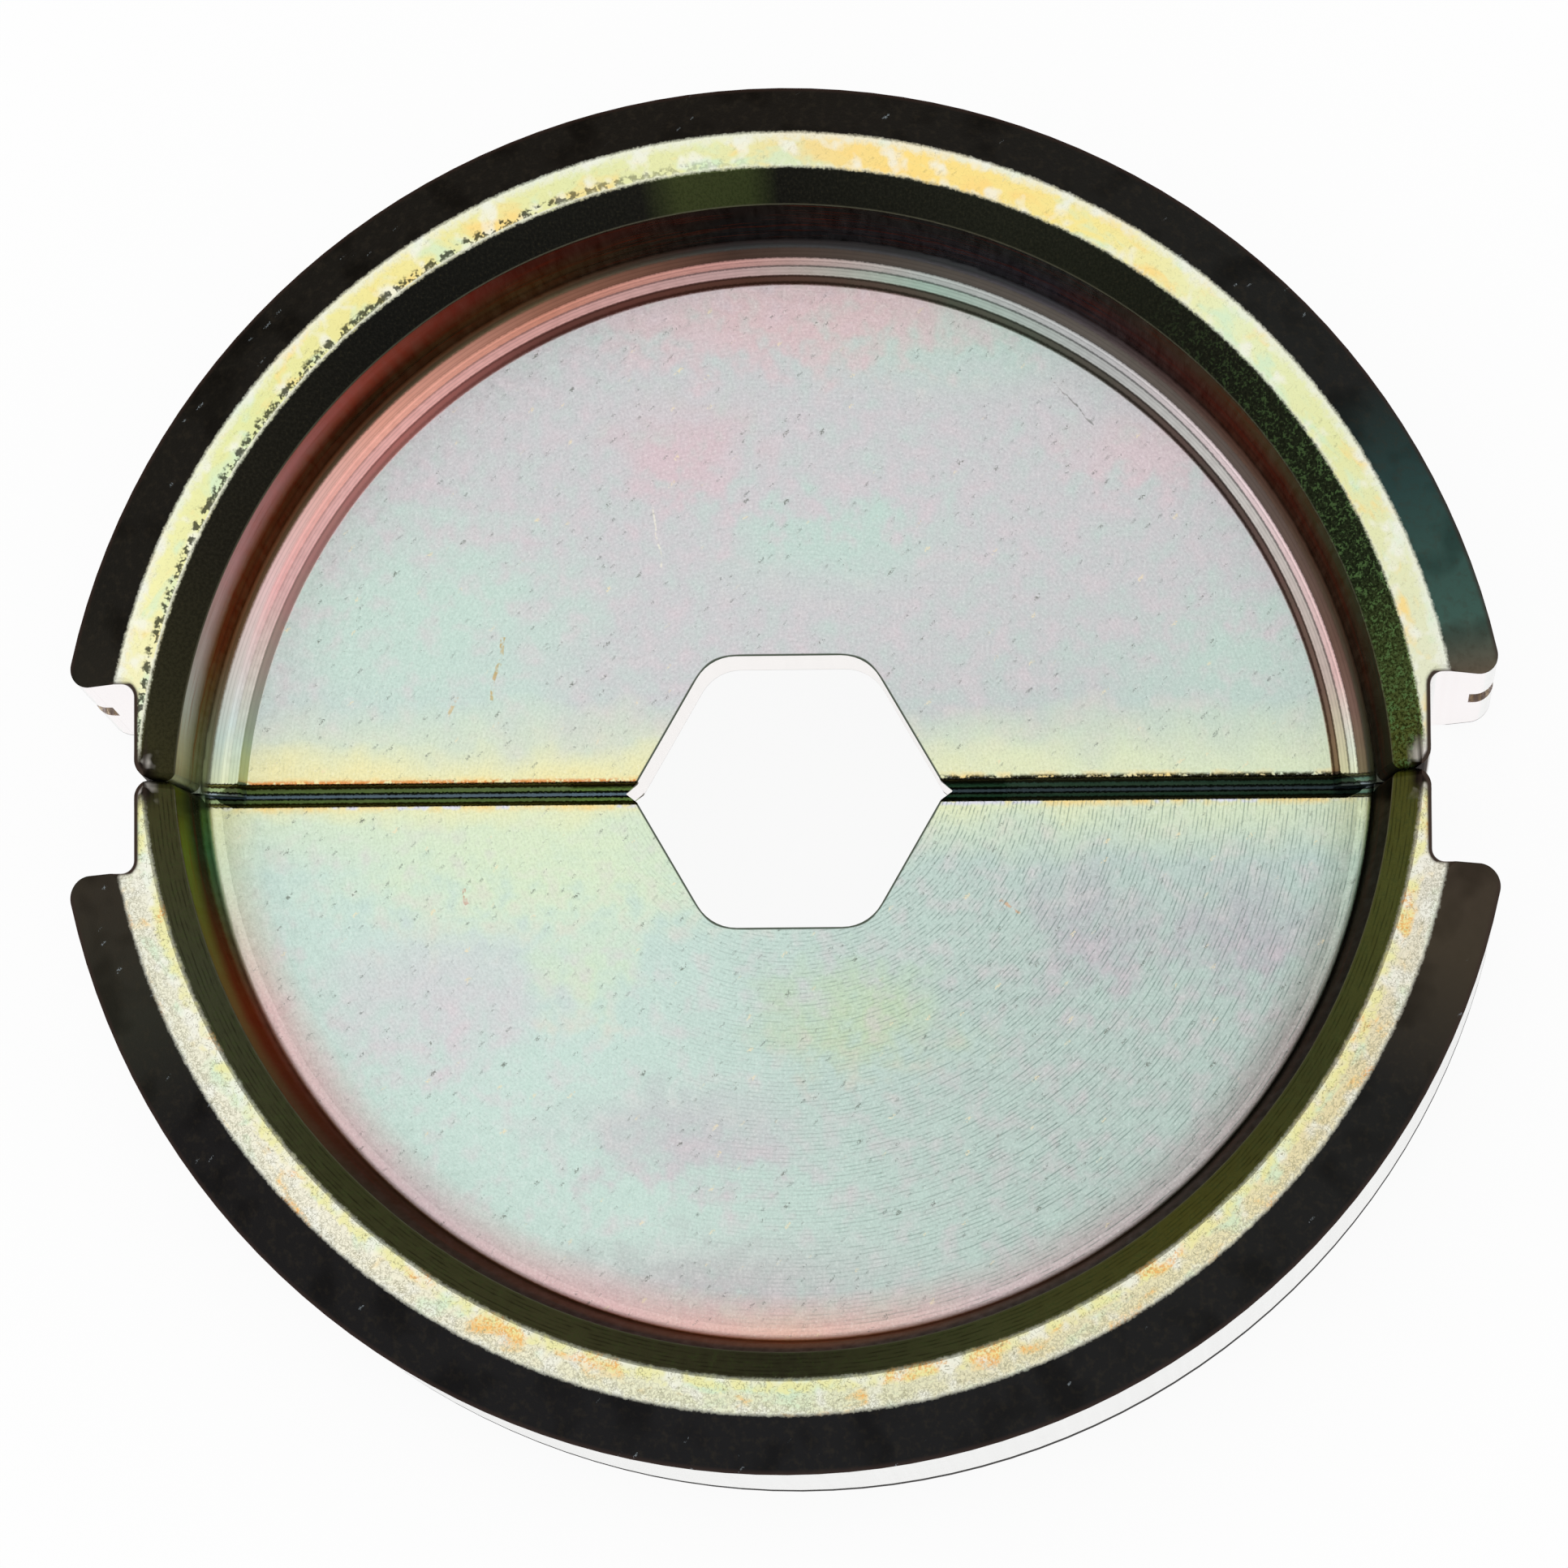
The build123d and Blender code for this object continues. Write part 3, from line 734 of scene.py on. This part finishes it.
    def joint_edges(self, shade):
        """Bevelled edges of the web along the joint, in thin coloured lines whose dark ones are painted shade in
        the joint between the halves, and the hexagon's dark outline.
        """
        edge = self.math("ADD", self.across, self.math("MULTIPLY_ADD", self.grain, 0.1, -0.05))
        left = self.step(self.x, 2.0, -2.0)
        across = self.step(edge, 0.0, JOINT_LINES_WIDTH)
        lines = self.mix(left, self.ramp(across, JOINT_LINES_RIGHT), self.ramp(across, JOINT_LINES_LEFT))
        on_bevel = self.all_of(
            self.step(edge, JOINT_BEVEL + 0.01, JOINT_BEVEL - 0.03),
            self.step(self.radius, 18.3, 18.1),
            self.step(self.height, 1.5, 1.6),
        )
        shade = self.mix(on_bevel, shade, lines)
        outline = self.all_of(
            self.step(self.from_hexagon(), 0.075, 0.045),
            self.step(self.height, WEB_HALF_THICKNESS - 0.04, WEB_HALF_THICKNESS - 0.01),
        )
        off_joint = self.step(self.across, JOINT_BEVEL - 0.1, JOINT_BEVEL)
        return self.tint(shade, "hexagon outline", outline, off_joint)

    def build(self):
        """Whole finish: colours from the web outwards, then how each part of it throws light back."""
        shade = self.worn_and_shaded_ends(self.rim(self.rings(self.web())))
        outside = self.outside()
        shade = self.mix(outside, shade, self.sides())
        # Last part of the seat before the far bevel, clear of the slots: a dark line of painted shade, rough and
        # not metallic
        shaded_far_edge = self.all_of(
            self.step(self.from_middle, -5.0, -5.1),
            self.step(self.across, 4.2, 4.6),
            self.step(self.radius, SEAT_RADIUS - 0.3, SEAT_RADIUS - 0.25),
            outside,
        )
        shade = self.tint(shade, "far seat edge shade", shaded_far_edge)
        in_hexagon = self.all_of(
            self.step(self.height, WEB_HALF_THICKNESS - 0.01, WEB_HALF_THICKNESS - 0.04),
            self.step(self.radius, 7.0, 6.8),
        )
        shade = self.joint_edges(self.tint(shade, "hexagon wall", in_hexagon))

        self.plug(self.shader.inputs["Base Color"], shade)
        inside_glint = self.mix(0.08, shade, TINTS["warm glint"])
        glint = self.mix(outside, inside_glint, TINTS["white glint"])
        self.plug(self.shader.inputs["Specular Tint"], glint)
        self.plug(self.shader.inputs["Metallic"], self.flip(shaded_far_edge))
        smooth = self.math("MAXIMUM", outside, in_hexagon)
        rough = self.math("MULTIPLY_ADD", self.mottle, 0.2, 0.27)
        rough = self.math("MULTIPLY", rough, self.math("MULTIPLY_ADD", smooth, -0.5, 1.0))
        self.plug(self.shader.inputs["Roughness"], self.math("MAXIMUM", rough, shaded_far_edge))
        relief = self.nodes.new("ShaderNodeBump")
        relief.inputs["Strength"].default_value = RELIEF_STRENGTH
        relief.inputs["Distance"].default_value = RELIEF_HEIGHT
        self.plug(relief.inputs["Height"], self.grain)
        self.plug(self.shader.inputs["Normal"], relief.outputs[0])
        return self.material


def floor():
    """Pale floor that reads white to the camera and still takes the die's shadow."""
    mesh = bpy.data.meshes.new("floor")
    shape = bmesh.new()
    bmesh.ops.create_grid(shape, x_segments=1, y_segments=1, size=FLOOR_HALF_SIZE)
    shape.to_mesh(mesh)
    shape.free()
    piece = bpy.data.objects.new("floor", mesh)
    bpy.context.scene.collection.objects.link(piece)
    finish = Finish("white_floor")
    finish.shader.inputs["Base Color"].default_value = (FLOOR_GREY, FLOOR_GREY, FLOOR_GREY, 1)
    finish.shader.inputs["Roughness"].default_value = FLOOR_ROUGHNESS
    glow = finish.nodes.new("ShaderNodeEmission")
    path = finish.nodes.new("ShaderNodeLightPath")
    seen = finish.math("MAXIMUM", path.outputs["Is Camera Ray"], path.outputs["Is Glossy Ray"])
    seen = finish.math("MAXIMUM", seen, path.outputs["Is Transmission Ray"])
    mixer = finish.nodes.new("ShaderNodeMixShader")
    finish.links.new(finish.math("MULTIPLY", seen, FLOOR_GLOW_SHARE), mixer.inputs[0])
    finish.links.new(finish.shader.outputs[0], mixer.inputs[1])
    finish.links.new(glow.outputs[0], mixer.inputs[2])
    finish.links.new(mixer.outputs[0], finish.nodes["Material Output"].inputs["Surface"])
    mesh.materials.append(finish.material)


def sky():
    """Even white world, at the level at which a colour renders as it is written."""
    world = bpy.data.worlds.new("soft_sky")
    bpy.context.scene.world = world
    world.use_nodes = True
    background = world.node_tree.nodes["Background"]
    background.inputs["Color"].default_value = (1, 1, 1, 1)
    background.inputs["Strength"].default_value = SKY_STRENGTH


def soft_lamp(name, place, size, power):
    """Broad lamp aimed at the die."""
    light = bpy.data.lights.new(name, "AREA")
    light.shape = "DISK"
    light.size = size
    light.energy = power
    lamp = bpy.data.objects.new(name, light)
    bpy.context.scene.collection.objects.link(lamp)
    lamp.location = place
    direction = lamp.location.copy()
    direction.negate()
    lamp.rotation_euler = direction.to_track_quat("-Z", "Y").to_euler()


def camera():
    """Camera above the die, a little towards its lower right, with the die nearly square on."""
    lens = bpy.data.cameras.new("camera")
    lens.sensor_width = CAMERA_SENSOR
    lens.lens = CAMERA_LENS
    lens.clip_start = CAMERA_NEAREST
    eye = bpy.data.objects.new("camera", lens)
    bpy.context.scene.collection.objects.link(eye)
    tilt = Matrix.Rotation(math.radians(CAMERA_TILT), 4, "X")
    pan = Matrix.Rotation(math.radians(CAMERA_PAN), 4, "Y")
    roll = Matrix.Rotation(math.radians(CAMERA_ROLL), 4, "Z")
    eye.matrix_world = Matrix.Translation(CAMERA_PLACE) @ tilt @ pan @ roll
    bpy.context.scene.camera = eye


plating = PlatedSteel().build()
for node in ("upper_die", "lower_die"):
    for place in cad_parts[node].material_slots:
        place.material = plating

floor()
sky()
soft_lamp("key_lamp", LAMP_PLACE, LAMP_SIZE, LAMP_POWER)
camera()
bpy.context.scene.view_settings.view_transform = "Standard"
